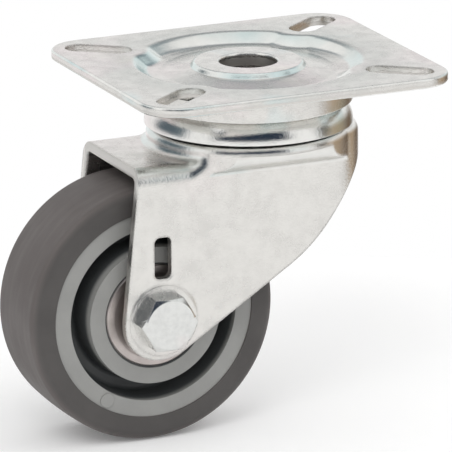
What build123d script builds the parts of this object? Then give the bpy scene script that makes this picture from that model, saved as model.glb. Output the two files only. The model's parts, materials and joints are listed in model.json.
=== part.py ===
from build123d import *
import os
from math import cos, degrees, floor, pi, radians, sin, sqrt, tan, atan2

# Swivel castor with a pressed top plate, a double ball swivel head and a wheel on two ball bearings.
# Frame: origin on the swivel axis in the plate's mounting face, +Z up, the wheel trailing towards -X,
# and the axle along Y with the bolt's head on the -Y side. All sizes are in millimetres.

# ---------------------------------------------------------------- driving dimensions

# top plate
plate_length = 100.0
plate_width = 90.0
plate_thickness = 3.0
plate_corner_radius = 12.0
plate_edge_radius = 0.7
slot_pitch_x = 72.0
slot_pitch_y = 63.0
slot_width = 9.0
slot_length = 21.0
slot_angle = 38.0
slot_land = 4.5
recess_radius = 35.0
recess_depth = 3.0
recess_blend = 6.0
recess_rim_radius = 4.0
recess_floor_radius = 3.5
dish_edge_radius = 3.0
press_draft = 55.0
rise_radius = 26.5
rise_shoulder_radius = 17.6
rise_shoulder_drop = 1.7
plateau_radius = 16.6
plateau_drop = 0.2
plateau_edge_radius = 0.9
plateau_foot_radius = 0.7
neck_bore = 17.8
neck_wall = 2.0
neck_lip_radius = 0.6
neck_flange_radius = 14.4
neck_flange_thickness = 2.0

# swivel bearing
pan_radius = 31.8
pan_height = 5.8
pan_sheet = 2.0
pan_corner_radius = 0.3
pan_root_radius = 1.5
race_thickness = 2.0
race_inner_radius = 21.4
race_lip_radius = 31.9
race_arch_radius = 8.0
race_skirt_radius = 30.0
race_root_radius = 2.6
race_lip_height = 1.6
race_lip_step = 0.6
swivel_gap = 0.5
upper_ball_diameter = 6.35
upper_ball_circle = 50.0
upper_groove_depth = 0.475
lower_ball_diameter = 4.0
lower_ball_circle = 27.2
lower_groove_depth = 0.3
lower_race_thickness = 2.0
lower_race_radius = 15.9
swivel_ball_clearance = 0.05
ball_spacing = 0.25
neck_clearance = 0.7

# fork
sheet = 3.0
crown_radius = 31.3
crown_edge_radius = 2.8
crown_rise = 5.5
nose_radius = 33.4
nose_corner_radius = 14.0
nose_cap_radius = 2.8
nose_cap_start = 4.0
shelf_radius = 5.5
shelf_end_angle = 12.0
shelf_root = 1.5
bend_radius = 5.0
web_length = 45.3
web_blend_radius = 2.3
axle_trail = 38.0
axle_drop = 72.0
leg_end_radius = 12.3
leg_rear_offset = 12.3
leg_front_angle = 32.6
leg_upper_angle = 54.0
nose_edge_height = 5.8
leg_knee_radius = 50.0
leg_foot_radius = 11.0
leg_slot_width = 5.6
leg_slot_length = 13.0
leg_slot_corner = 1.8
leg_slot_height = 19.5
leg_pad_radius = 11.0
leg_pad_height = 0.4

# axle
bolt_diameter = 10.0
bolt_length = 60.0
bolt_hole_clearance = 0.5
bolt_chamfer = 1.0
head_across_flats = 16.0
head_height = 5.3
washer_diameter = 20.0
washer_thickness = 2.0
washer_chamfer = 0.3
nut_across_flats = 16.0
nut_height = 10.0
nut_collar_height = 2.4
nut_collar_diameter = 14.6
nut_collar_radius = 0.8
nut_insert_diameter = 12.4
nut_insert_length = 2.2
nut_lip_thickness = 0.5
hex_chamfer_angle = 30.0
hex_chamfer_inset = 0.4
sleeve_bore_clearance = 0.5
sleeve_fit_clearance = 0.02

# wheel
wheel_diameter = 80.0
tyre_width = 28.6
tyre_bore = 64.6
tyre_crown = 0.5
tyre_shoulder_radius = 3.0
tyre_key_width = 9.0
tyre_key_height = 2.4
rim_width = 27.8
rim_inner_diameter = 54.3
rim_edge_radius = 0.4
wheel_web_thickness = 7.0
hub_diameter = 42.8
hub_length = 30.6
hub_edge_radius = 0.9
core_draft = 4.0
core_root_radius = 1.5
core_root_share = 0.33
hub_shoulder_diameter = 27.6
bearing_mouth = 0.45

# wheel bearings
bearing_diameter = 32.0
bearing_bore = 12.0
bearing_width = 10.0
bearing_ball_diameter = 5.95
bearing_ball_circle = 22.0
bearing_ball_count = 7
bearing_ball_clearance = 0.05
bearing_chamfer = 0.5
outer_race_land = 26.8
inner_race_land = 17.4
seal_thickness = 0.7
seal_inset = 0.3
seal_clearance = 0.2
cage_width = 7.2
cage_thickness = 1.2
cage_pocket_clearance = 0.1
side_spacer_diameter = 16.6
side_spacer_thickness = 3.6
inner_spacer_diameter = 16.0

# ---------------------------------------------------------------- derived levels and places

dish_under_z = -(recess_depth + plate_thickness)
pan_under_z = dish_under_z - pan_height
race_under_z = pan_under_z - race_thickness
upper_ball_z = race_under_z + upper_groove_depth - upper_ball_diameter / 2
crown_top_z = upper_ball_z - upper_ball_diameter / 2 + upper_groove_depth
deck_under_z = crown_top_z - sheet
lower_ball_z = deck_under_z + lower_groove_depth - lower_ball_diameter / 2
lower_race_top_z = lower_ball_z - lower_ball_diameter / 2 + lower_groove_depth
lower_race_under_z = lower_race_top_z - lower_race_thickness
web_top_z = crown_top_z - crown_rise
web_under_z = web_top_z - sheet
neck_bore_radius = neck_bore / 2
neck_radius = neck_bore_radius + neck_wall
upper_ball_radius = upper_ball_diameter / 2
lower_ball_radius = lower_ball_diameter / 2

axle_x = -axle_trail
axle_z = -axle_drop
leg_inner_y = hub_length / 2 + side_spacer_thickness - leg_pad_height
leg_outer_y = leg_inner_y + sheet
pad_inner_y = leg_inner_y + leg_pad_height
pad_outer_y = leg_outer_y + leg_pad_height
bend_inner_radius = bend_radius - sheet

bolt_radius = bolt_diameter / 2
bore_radius = bearing_bore / 2
sleeve_radius = bore_radius - sleeve_fit_clearance
bearing_radius = bearing_diameter / 2
bearing_inner_y = hub_length / 2 - bearing_width
bearing_centre_y = hub_length / 2 - bearing_width / 2
bearing_ball_radius = bearing_ball_diameter / 2
pitch_radius = bearing_ball_circle / 2
tyre_bore_radius = tyre_bore / 2
hub_radius = hub_diameter / 2

level_tolerance = 0.001
axle_axis = Axis((axle_x, 0, axle_z), (0, 1, 0))
axle_section = Plane(origin=(axle_x, 0, axle_z), x_dir=(0, 1, 0), z_dir=(1, 0, 0))
sides = {"head_side": -1, "nut_side": 1}


def across(y):
    """Plane square to the axle at a given y, its own x along +X and its normal along +Y."""
    return Plane(origin=(axle_x, y, axle_z), x_dir=(1, 0, 0), z_dir=(0, 1, 0))


def balls_on(circle, ball, spacing):
    """How many balls fill a circle, with a given room between neighbours."""
    return floor(pi * circle / (ball + spacing))


def edges_at(builder, z):
    """Edges of a part that lie in the level plane at height z."""
    return builder.edges().filter_by_position(Axis.Z, z - level_tolerance, z + level_tolerance)


def save(builder, name):
    """Label a finished piece and write it to its own STEP file."""
    builder.part.label = name
    export_step(builder.part, f"parts/{name}.step")


os.makedirs("parts", exist_ok=True)

# ---------------------------------------------------------------- top plate

slot_reach = (slot_length - slot_width) / 2
slots = [(sx, sy) for sx in (-1, 1) for sy in (-1, 1)]
slot_inner_ends = [
    (
        sx * (slot_pitch_x / 2 - slot_reach * cos(radians(slot_angle))),
        sy * (slot_pitch_y / 2 - slot_reach * sin(radians(slot_angle))),
    )
    for sx, sy in slots
]
draft_run = tan(radians(press_draft))
wall_step = plate_thickness / cos(radians(press_draft)) - plate_thickness * draft_run


def rise_section(drop):
    """Half section of the low rise in the middle of the recess and the plateau on it, moved down by drop."""
    with BuildSketch(Plane.XZ) as section:
        with BuildLine():
            Polyline(
                (0, -recess_depth - drop),
                (rise_radius, -recess_depth - drop),
                (rise_shoulder_radius, -rise_shoulder_drop - drop),
                (plateau_radius, -plateau_drop - drop),
                (0, -plateau_drop - drop),
                close=True,
            )
        make_face()
        corners = section.vertices()
        edge = (plateau_radius, -plateau_drop - drop)
        foot = (rise_shoulder_radius, -rise_shoulder_drop - drop)
        fillet(corners.sort_by_distance(edge)[0], plateau_edge_radius)
        fillet(corners.sort_by_distance(foot)[0], plateau_foot_radius)
    return section.sketch


def recess_outline(growth):
    """Outline of the pressed recess, drawn back round the inner end of each slot, made larger by growth."""
    with BuildSketch() as outline:
        Circle(recess_radius + growth)
        with Locations(*slot_inner_ends):
            Circle(slot_width / 2 + slot_land - growth, mode=Mode.SUBTRACT)
        fillet(outline.vertices(), recess_blend + growth)
    return outline.sketch


with BuildPart() as top_plate:
    with BuildSketch():
        RectangleRounded(plate_length, plate_width, plate_corner_radius)
    extrude(amount=-plate_thickness)
    fillet(top_plate.faces().sort_by(Axis.Z)[-1].edges(), plate_edge_radius)
    fillet(top_plate.faces().sort_by(Axis.Z)[0].edges(), plate_edge_radius)
    # the dish pressed down round the swivel axis: its underside, then the recess itself
    with BuildSketch(Plane.XY.offset(-plate_thickness)):
        add(recess_outline(wall_step))
    with BuildSketch(Plane.XY.offset(dish_under_z)):
        add(recess_outline(wall_step - recess_depth * draft_run))
    loft(ruled=True)
    fillet(top_plate.faces().sort_by(Axis.Z)[0].edges(), dish_edge_radius)
    with BuildSketch():
        add(recess_outline(0))
    with BuildSketch(Plane.XY.offset(-recess_depth)):
        add(recess_outline(-recess_depth * draft_run))
    loft(ruled=True, mode=Mode.SUBTRACT)
    fillet(top_plate.faces().sort_by(Axis.Z)[-1].inner_wires().edges(), recess_rim_radius)
    fillet(edges_at(top_plate, -recess_depth), recess_floor_radius)
    # the rise and its plateau in the middle of the recess, hollow underneath
    add(rise_section(0))
    revolve(axis=Axis.Z)
    add(rise_section(plate_thickness))
    revolve(axis=Axis.Z, mode=Mode.SUBTRACT)
    # the slots
    with BuildSketch():
        for sx, sy in slots:
            with Locations((sx * slot_pitch_x / 2, sy * slot_pitch_y / 2)):
                SlotOverall(slot_length, slot_width, rotation=sx * sy * slot_angle)
    extrude(amount=-plate_thickness, mode=Mode.SUBTRACT)
    # the hollow neck drawn down from the plateau and flanged under the lower race
    with BuildSketch(Plane.XY.offset(-plateau_drop - plate_thickness)):
        Circle(neck_radius)
    extrude(amount=lower_race_under_z + plateau_drop + plate_thickness)
    with BuildSketch(Plane.XY.offset(lower_race_under_z)):
        Circle(neck_flange_radius)
    extrude(amount=-neck_flange_thickness)
    with BuildSketch():
        Circle(neck_bore_radius)
    extrude(amount=lower_race_under_z - neck_flange_thickness, mode=Mode.SUBTRACT)
    fillet(edges_at(top_plate, -plateau_drop).sort_by(SortBy.RADIUS)[0], neck_lip_radius)

save(top_plate, "top_plate")

# ---------------------------------------------------------------- swivel bearing

lip_under_z = crown_top_z + swivel_gap
arch_centre_radius = race_lip_radius - race_arch_radius
arch_height = pan_under_z - lip_under_z
arch_top_radius = arch_centre_radius + sqrt(race_arch_radius**2 - arch_height**2)
upper_track_radius = upper_ball_radius + swivel_ball_clearance
lower_track_radius = lower_ball_radius + swivel_ball_clearance


def ball_track(circle, z, radius):
    """A ring-shaped track for balls that run on a circle about the swivel axis."""
    with BuildPart(mode=Mode.PRIVATE) as track:
        with Locations((0, 0, z)):
            Torus(circle / 2, radius)
    return track.part


def ball_ring(circle, z, radius, count):
    """Balls evenly spread on a circle about the swivel axis."""
    with BuildPart(mode=Mode.PRIVATE) as ring:
        with Locations((0, 0, z)):
            with PolarLocations(circle / 2, count):
                Sphere(radius)
    return ring.part


with BuildPart() as bearing_pan:
    with BuildSketch(Plane.XZ) as pan_section:
        with BuildLine():
            Polyline(
                (race_inner_radius, pan_under_z),
                (pan_radius, pan_under_z),
                (pan_radius, dish_under_z),
                (pan_radius - pan_sheet, dish_under_z),
                (pan_radius - pan_sheet, pan_under_z + pan_sheet),
                (race_inner_radius, pan_under_z + pan_sheet),
                close=True,
            )
        make_face()
        fillet(pan_section.vertices().sort_by_distance((pan_radius, pan_under_z))[0], pan_corner_radius)
        pan_root = (pan_radius - pan_sheet, pan_under_z + pan_sheet)
        fillet(pan_section.vertices().sort_by_distance(pan_root)[0], pan_root_radius)
    revolve(axis=Axis.Z)

save(bearing_pan, "bearing_pan")

with BuildPart() as upper_race:
    with BuildSketch(Plane.XZ) as race_section:
        with BuildLine():
            Line((race_inner_radius, pan_under_z), (arch_top_radius, pan_under_z))
            RadiusArc((arch_top_radius, pan_under_z), (race_lip_radius, lip_under_z), race_arch_radius)
            Polyline(
                (race_lip_radius, lip_under_z),
                (race_skirt_radius + race_lip_step, lip_under_z),
                (race_skirt_radius, lip_under_z + race_lip_height),
                (race_skirt_radius, race_under_z),
                (race_inner_radius, race_under_z),
                (race_inner_radius, pan_under_z),
            )
        make_face()
        root = (race_skirt_radius, race_under_z)
        fillet(race_section.vertices().sort_by_distance(root)[0], race_root_radius)
    revolve(axis=Axis.Z)
    add(ball_track(upper_ball_circle, upper_ball_z, upper_track_radius), mode=Mode.SUBTRACT)

save(upper_race, "upper_race")

upper_ball_count = balls_on(upper_ball_circle, upper_ball_diameter, ball_spacing)
lower_ball_count = balls_on(lower_ball_circle, lower_ball_diameter, ball_spacing)

with BuildPart() as upper_balls:
    add(ball_ring(upper_ball_circle, upper_ball_z, upper_ball_radius, upper_ball_count))

save(upper_balls, "upper_balls")

with BuildPart() as lower_race:
    with BuildSketch(Plane.XY.offset(lower_race_under_z)):
        Circle(lower_race_radius)
        Circle(neck_radius, mode=Mode.SUBTRACT)
    extrude(amount=lower_race_thickness)
    add(ball_track(lower_ball_circle, lower_ball_z, lower_track_radius), mode=Mode.SUBTRACT)

save(lower_race, "lower_race")

with BuildPart() as lower_balls:
    add(ball_ring(lower_ball_circle, lower_ball_z, lower_ball_radius, lower_ball_count))

save(lower_balls, "lower_balls")

# ---------------------------------------------------------------- fork

knee_run = tan(radians(leg_front_angle))
nose_run = tan(radians(leg_upper_angle))
nose_edge_z = crown_top_z - nose_edge_height
foot_tangent = (
    axle_x + leg_end_radius * sin(radians(leg_front_angle)),
    axle_z - leg_end_radius * cos(radians(leg_front_angle)),
)
# the two straight lengths of the leg's front edge, from the foot and down from the nose, meet at the knee
knee_x = (
    (nose_edge_z - nose_radius * nose_run) - (foot_tangent[1] - foot_tangent[0] * knee_run)
) / (knee_run - nose_run)
knee_z = foot_tangent[1] + (knee_x - foot_tangent[0]) * knee_run
rear_x = axle_x - leg_rear_offset


def nose_plan(growth, back_x):
    """Plan of the fork: straight sides, rounded in front into a nose that follows the crown.

    Without a back_x the plan ends behind in the crown's own circle.
    """
    half = leg_outer_y + growth
    rear = crown_radius + growth
    nose = nose_radius + growth
    corner = nose_corner_radius + growth
    corner_y = half - corner
    corner_x = sqrt((nose - corner) ** 2 - corner_y**2)
    lean = degrees(atan2(corner_y, corner_x))
    round_rear = back_x is None
    end_x = -sqrt(rear**2 - half**2) if round_rear else back_x
    with BuildSketch() as plan:
        with BuildLine():
            Line((end_x, -half), (corner_x, -half))
            CenterArc((corner_x, -corner_y), corner, -90, 90 - lean)
            CenterArc((0, 0), nose, -lean, 2 * lean)
            CenterArc((corner_x, corner_y), corner, lean, 90 - lean)
            Line((corner_x, half), (end_x, half))
            if round_rear:
                ThreePointArc((end_x, half), (-rear, 0), (end_x, -half))
            else:
                Line((end_x, half), (end_x, -half))
        make_face()
    return plan.sketch


def shelf_fillet(side):
    """Metal that fills the corner between one leg and the overhang of the crown above it."""
    corner_y = leg_outer_y - nose_corner_radius
    corner_x = sqrt((nose_radius - nose_corner_radius) ** 2 - corner_y**2)
    lean = degrees(atan2(corner_y, corner_x))
    rear_end = -sqrt(crown_radius**2 - leg_outer_y**2)
    with BuildPart(mode=Mode.PRIVATE) as filler:
        with BuildLine(Plane.XY.offset(deck_under_z)) as path:
            Line((rear_end, side * leg_outer_y), (corner_x, side * leg_outer_y))
            turn = side * (lean + shelf_end_angle - 90)
            CenterArc((corner_x, side * corner_y), nose_corner_radius, side * 90, turn)
        foot_point = (rear_end, side * leg_outer_y, deck_under_z)
        start = Plane(origin=foot_point, x_dir=(0, side, 0), z_dir=(side, 0, 0))
        with BuildSketch(start):
            with BuildLine():
                Line((-shelf_root, 0), (shelf_radius, 0))
                RadiusArc((shelf_radius, 0), (0, -shelf_radius), shelf_radius)
                Polyline((0, -shelf_radius), (-shelf_root, -shelf_radius), (-shelf_root, 0))
            make_face()
        sweep(path=path.line)
        Cylinder(crown_radius, 2 * axle_drop, mode=Mode.INTERSECT)
    return filler.part


def nose_cap():
    """Rounded top of the nose, which stands out in front of the deck."""
    with BuildPart(mode=Mode.PRIVATE) as cap:
        with BuildSketch(Plane.XY.offset(deck_under_z)):
            add(nose_plan(0, nose_cap_start))
        extrude(amount=sheet)
        curved = edges_at(cap, crown_top_z) - edges_at(cap, crown_top_z).filter_by(Axis.Y)
        fillet(curved, nose_cap_radius)
    return cap.part


with BuildPart() as fork:
    # the channel: both legs and the web between them, as one block of the fork's outer form
    with BuildSketch(Plane.XZ):
        with BuildLine():
            Line((-web_length, web_top_z), (nose_radius, web_top_z))
            Line((nose_radius, web_top_z), (nose_radius, nose_edge_z))
            Line((nose_radius, nose_edge_z), (knee_x, knee_z))
            Line((knee_x, knee_z), foot_tangent)
            foot = CenterArc((axle_x, axle_z), leg_end_radius, leg_front_angle - 90, -leg_front_angle)
            Line(foot @ 1, (rear_x, axle_z - leg_end_radius))
            Line((rear_x, axle_z - leg_end_radius), (rear_x, axle_z))
            Line((rear_x, axle_z), (-web_length, web_top_z))
        make_face()
    extrude(amount=leg_outer_y, both=True)
    knee = fork.edges().filter_by(Axis.Y).sort_by_distance((knee_x, 0, knee_z))[0]
    fillet(knee, leg_knee_radius)
    heel = fork.edges().filter_by(Axis.Y).sort_by_distance((rear_x, 0, axle_z - leg_end_radius))[0]
    fillet(heel, leg_foot_radius)
    # the crown: a drawn cup that runs down into the legs, its nose rounded in plan
    with BuildSketch(Plane.XY.offset(crown_top_z)):
        add(nose_plan(0, -web_length - leg_outer_y))
    extrude(amount=crown_top_z - axle_z + 2 * leg_end_radius, mode=Mode.INTERSECT, both=True)
    with BuildSketch(Plane.XY.offset(web_top_z)):
        add(nose_plan(0, None))
    extrude(amount=deck_under_z - web_top_z)
    fillet(fork.edges().sort_by_distance((-crown_radius, 0, web_top_z))[0], web_blend_radius)
    # the bends that run along the web and on up the corners of the crown
    for side in sides.values():
        leg_face_y = side * leg_outer_y
        low_y = leg_face_y - level_tolerance
        high_y = leg_face_y + level_tolerance
        low_z = web_top_z - level_tolerance
        high_z = deck_under_z + level_tolerance
        on_leg = fork.edges().filter_by_position(Axis.Y, low_y, high_y)
        above = on_leg.filter_by_position(Axis.Z, low_z, high_z)
        bends = above.filter_by_position(Axis.X, -web_length, 0) - edges_at(fork, deck_under_z)
        fillet(bends, bend_radius)
    # the deck that the balls run on, wider than the legs, and the hollow under its overhang
    with BuildSketch(Plane.XZ) as deck_section:
        with Locations((0, deck_under_z)):
            Rectangle(crown_radius, sheet, align=(Align.MIN, Align.MIN))
        fillet(deck_section.vertices().group_by(Axis.X)[-1].sort_by(Axis.Y)[-1], crown_edge_radius)
    revolve(axis=Axis.Z)
    add(nose_cap())
    for side in sides.values():
        add(shelf_fillet(side))
    # the inside: the space for the wheel between the legs, and the hollow of the crown
    with BuildSketch(Plane.XY.offset(web_under_z)):
        add(nose_plan(-sheet, -web_length - leg_outer_y))
    extrude(amount=axle_z - 2 * leg_end_radius - web_under_z, mode=Mode.SUBTRACT)
    fillet(edges_at(fork, web_under_z).filter_by(Axis.X), bend_inner_radius)
    with BuildSketch(Plane.XY.offset(web_under_z)):
        add(nose_plan(-sheet, None))
    extrude(amount=deck_under_z - web_under_z, mode=Mode.SUBTRACT)
    # an embossed ring round each axle hole, standing out of the leg and hollow behind
    for side in sides.values():
        with BuildSketch(across(side * leg_outer_y)):
            Circle(leg_pad_radius)
        extrude(amount=side * leg_pad_height)
        with BuildSketch(across(side * leg_inner_y)):
            Circle(leg_pad_radius)
        extrude(amount=side * leg_pad_height, mode=Mode.SUBTRACT)
    # the axle holes, the slots above them for a brake, and the hole for the plate's neck
    with BuildSketch(Plane.XZ):
        with Locations((axle_x, axle_z)):
            Circle(bolt_radius + bolt_hole_clearance / 2)
        with Locations((axle_x, axle_z + leg_slot_height)):
            RectangleRounded(leg_slot_width, leg_slot_length, leg_slot_corner)
    extrude(amount=pad_outer_y, both=True, mode=Mode.SUBTRACT)
    with BuildSketch(Plane.XY.offset(crown_top_z)):
        Circle(neck_radius + neck_clearance)
    extrude(amount=-sheet, mode=Mode.SUBTRACT)
    add(ball_track(upper_ball_circle, upper_ball_z, upper_track_radius), mode=Mode.SUBTRACT)
    add(ball_track(lower_ball_circle, lower_ball_z, lower_track_radius), mode=Mode.SUBTRACT)

save(fork, "fork")

# ---------------------------------------------------------------- axle

head_under_y = -pad_outer_y
nut_under_y = pad_outer_y + washer_thickness
insert_start = nut_height - nut_lip_thickness - nut_insert_length
chamfer_run = tan(radians(hex_chamfer_angle))
bolt_hole_radius = bolt_radius + bolt_hole_clearance / 2


def hexagon(across_flats):
    """A hexagon with two corners pointing along its own x axis."""
    return RegularPolygon(across_flats / 2, 6, major_radius=False)


def chamfer_cone(face_y, outward, across_flats):
    """A turned blank that cuts the corners of a hexagon near the face at face_y."""
    flat_radius = across_flats / 2 - hex_chamfer_inset
    with BuildPart(mode=Mode.PRIVATE) as blank:
        with BuildSketch(axle_section):
            with BuildLine():
                Polyline(
                    (face_y, 0),
                    (face_y, flat_radius),
                    (face_y - outward * across_flats * chamfer_run, flat_radius + across_flats),
                    (face_y - outward * across_flats * chamfer_run, 0),
                    close=True,
                )
            make_face()
        revolve(axis=axle_axis)
    return blank.part


with BuildPart() as axle_bolt:
    with BuildSketch(across(head_under_y)):
        hexagon(head_across_flats)
    extrude(amount=-head_height)
    add(chamfer_cone(head_under_y - head_height, -1, head_across_flats), mode=Mode.INTERSECT)
    with BuildSketch(across(head_under_y)):
        Circle(bolt_radius)
    extrude(amount=bolt_length)
    chamfer(axle_bolt.faces().sort_by(Axis.Y)[-1].edges(), bolt_chamfer)

save(axle_bolt, "axle_bolt")

with BuildPart() as axle_washer:
    with BuildSketch(across(pad_outer_y)):
        Circle(washer_diameter / 2)
        Circle(bolt_hole_radius, mode=Mode.SUBTRACT)
    extrude(amount=washer_thickness)
    chamfer(axle_washer.faces().sort_by(Axis.Y)[-1].outer_wire().edges(), washer_chamfer)

save(axle_washer, "axle_washer")

with BuildPart() as axle_nut:
    with BuildSketch(across(nut_under_y)):
        hexagon(nut_across_flats)
    extrude(amount=nut_height - nut_collar_height)
    add(chamfer_cone(nut_under_y + nut_height - nut_collar_height, 1, nut_across_flats), mode=Mode.INTERSECT)
    with BuildSketch(across(nut_under_y)):
        Circle(nut_collar_diameter / 2)
    extrude(amount=nut_height)
    fillet(axle_nut.faces().sort_by(Axis.Y)[-1].outer_wire().edges(), nut_collar_radius)
    with BuildSketch(across(nut_under_y)):
        Circle(bolt_radius)
    extrude(amount=nut_height, mode=Mode.SUBTRACT)
    with BuildSketch(across(nut_under_y + insert_start)):
        Circle(nut_insert_diameter / 2)
    extrude(amount=nut_insert_length, mode=Mode.SUBTRACT)
    with BuildSketch(across(nut_under_y + insert_start)):
        Circle(bolt_hole_radius)
    extrude(amount=nut_height, mode=Mode.SUBTRACT)

save(axle_nut, "axle_nut")

with BuildPart() as nut_insert:
    with BuildSketch(across(nut_under_y + insert_start)):
        Circle(nut_insert_diameter / 2)
        Circle(bolt_radius, mode=Mode.SUBTRACT)
    extrude(amount=nut_insert_length)

save(nut_insert, "nut_insert")

with BuildPart() as axle_sleeve:
    with BuildSketch(across(-pad_inner_y)):
        Circle(sleeve_radius)
        Circle(bolt_radius + sleeve_bore_clearance / 2, mode=Mode.SUBTRACT)
    extrude(amount=2 * pad_inner_y)

save(axle_sleeve, "axle_sleeve")

with BuildPart() as inner_spacer:
    with BuildSketch(across(-bearing_inner_y)):
        Circle(inner_spacer_diameter / 2)
        Circle(bore_radius, mode=Mode.SUBTRACT)
    extrude(amount=2 * bearing_inner_y)

save(inner_spacer, "inner_spacer")

# ---------------------------------------------------------------- wheel

draft_slope = tan(radians(core_draft))
web_face_y = wheel_web_thickness / 2
hub_root_radius = hub_radius + (hub_length / 2 - web_face_y) * draft_slope
rim_root_radius = rim_inner_diameter / 2 - (rim_width / 2 - web_face_y) * draft_slope
core_fillet = min(core_root_radius, core_root_share * (rim_root_radius - hub_root_radius))
shoulder_radius = wheel_diameter / 2 - tyre_crown

with BuildPart() as wheel_core:
    with BuildSketch(axle_section) as core_section:
        with BuildLine():
            Polyline(
                (0, hub_shoulder_diameter / 2),
                (bearing_inner_y, hub_shoulder_diameter / 2),
                (bearing_inner_y, bearing_radius),
                (hub_length / 2 - bearing_mouth, bearing_radius),
                (hub_length / 2, bearing_radius + bearing_mouth),
                (hub_length / 2, hub_radius),
                (web_face_y, hub_root_radius),
                (web_face_y, rim_root_radius),
                (rim_width / 2, rim_inner_diameter / 2),
                (rim_width / 2, tyre_bore_radius),
                (tyre_key_width / 2, tyre_bore_radius),
                (tyre_key_width / 2, tyre_bore_radius + tyre_key_height),
                (0, tyre_bore_radius + tyre_key_height),
                close=True,
            )
        make_face()
        low_y = web_face_y - level_tolerance
        high_y = web_face_y + level_tolerance
        corners = core_section.vertices()
        fillet(corners.filter_by_position(Axis.X, low_y, high_y), core_fillet)
        fillet(corners.sort_by_distance((hub_length / 2, hub_radius))[0], hub_edge_radius)
        fillet(corners.sort_by_distance((rim_width / 2, rim_inner_diameter / 2))[0], rim_edge_radius)
        mirror(about=Plane.YZ)
    revolve(axis=axle_axis)

save(wheel_core, "wheel_core")

with BuildPart() as tyre:
    with BuildSketch(axle_section) as tyre_section:
        with BuildLine():
            Line((-tyre_width / 2, tyre_bore_radius), (-tyre_width / 2, shoulder_radius))
            ThreePointArc(
                (-tyre_width / 2, shoulder_radius), (0, wheel_diameter / 2), (tyre_width / 2, shoulder_radius)
            )
            Line((tyre_width / 2, shoulder_radius), (tyre_width / 2, tyre_bore_radius))
            Line((tyre_width / 2, tyre_bore_radius), (-tyre_width / 2, tyre_bore_radius))
        make_face()
        fillet(tyre_section.vertices().group_by(Axis.Y)[-1], tyre_shoulder_radius)
        with Locations((0, tyre_bore_radius)):
            Rectangle(tyre_key_width, 2 * tyre_key_height, mode=Mode.SUBTRACT)
    revolve(axis=axle_axis)

save(tyre, "tyre")

# ---------------------------------------------------------------- wheel bearings, one in each end of the hub

track_radius = bearing_ball_radius + bearing_ball_clearance
pocket_radius = bearing_ball_radius + cage_pocket_clearance

for side_name, side in sides.items():
    centre = across(side * bearing_centre_y)
    outward = side * bearing_width / 2

    with BuildPart() as outer_ring:
        with BuildSketch(across(side * bearing_centre_y - outward)):
            Circle(bearing_radius)
            Circle(outer_race_land / 2, mode=Mode.SUBTRACT)
        extrude(amount=2 * outward)
        for face in outer_ring.faces().filter_by(Axis.Y):
            chamfer(face.outer_wire().edges(), bearing_chamfer)
        with Locations(centre):
            Torus(pitch_radius, track_radius, mode=Mode.SUBTRACT)

    save(outer_ring, f"bearing_outer_ring_{side_name}")

    with BuildPart() as inner_ring:
        with BuildSketch(across(side * bearing_centre_y - outward)):
            Circle(inner_race_land / 2)
            Circle(bore_radius, mode=Mode.SUBTRACT)
        extrude(amount=2 * outward)
        for face in inner_ring.faces().filter_by(Axis.Y):
            chamfer(face.inner_wires().edges(), bearing_chamfer)
        with Locations(centre):
            Torus(pitch_radius, track_radius, mode=Mode.SUBTRACT)

    save(inner_ring, f"bearing_inner_ring_{side_name}")

    with BuildPart() as bearing_balls:
        with Locations(centre):
            with PolarLocations(pitch_radius, bearing_ball_count):
                Sphere(bearing_ball_radius)

    save(bearing_balls, f"bearing_balls_{side_name}")

    with BuildPart() as cage:
        with BuildSketch(centre):
            Circle(pitch_radius + cage_thickness / 2)
            Circle(pitch_radius - cage_thickness / 2, mode=Mode.SUBTRACT)
        extrude(amount=cage_width / 2, both=True)
        with Locations(centre):
            with PolarLocations(pitch_radius, bearing_ball_count):
                Cylinder(pocket_radius, 2 * cage_thickness, rotation=(0, 90, 0), mode=Mode.SUBTRACT)

    save(cage, f"bearing_cage_{side_name}")

    for seal_name, facing in {"outer": 1, "inner": -1}.items():
        seal_face_y = side * bearing_centre_y + facing * (outward - side * seal_inset)
        with BuildPart() as seal:
            with BuildSketch(across(seal_face_y)):
                Circle(outer_race_land / 2)
                Circle(inner_race_land / 2 + seal_clearance, mode=Mode.SUBTRACT)
            extrude(amount=-facing * side * seal_thickness)

        save(seal, f"bearing_{seal_name}_seal_{side_name}")

    with BuildPart() as side_spacer:
        with BuildSketch(across(side * hub_length / 2)):
            Circle(side_spacer_diameter / 2)
            Circle(bore_radius, mode=Mode.SUBTRACT)
        extrude(amount=side * side_spacer_thickness)
        chamfer(side_spacer.faces().filter_by(Axis.Y).edges().group_by(Edge.length)[-1], bearing_chamfer / 2)

    save(side_spacer, f"side_spacer_{side_name}")
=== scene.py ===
"""Looks of a swivel castor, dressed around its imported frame.

Every mesh is in metres in the frame's own place: the origin lies on the swivel axis in the plate's
mounting face, +Z is up, the wheel trails towards -X and the axle runs along Y.
"""

from __future__ import annotations

import json
import logging
import math
from dataclasses import dataclass
from enum import Enum
from typing import NamedTuple

import bmesh
import bpy
from mathutils import Matrix, Vector

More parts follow.
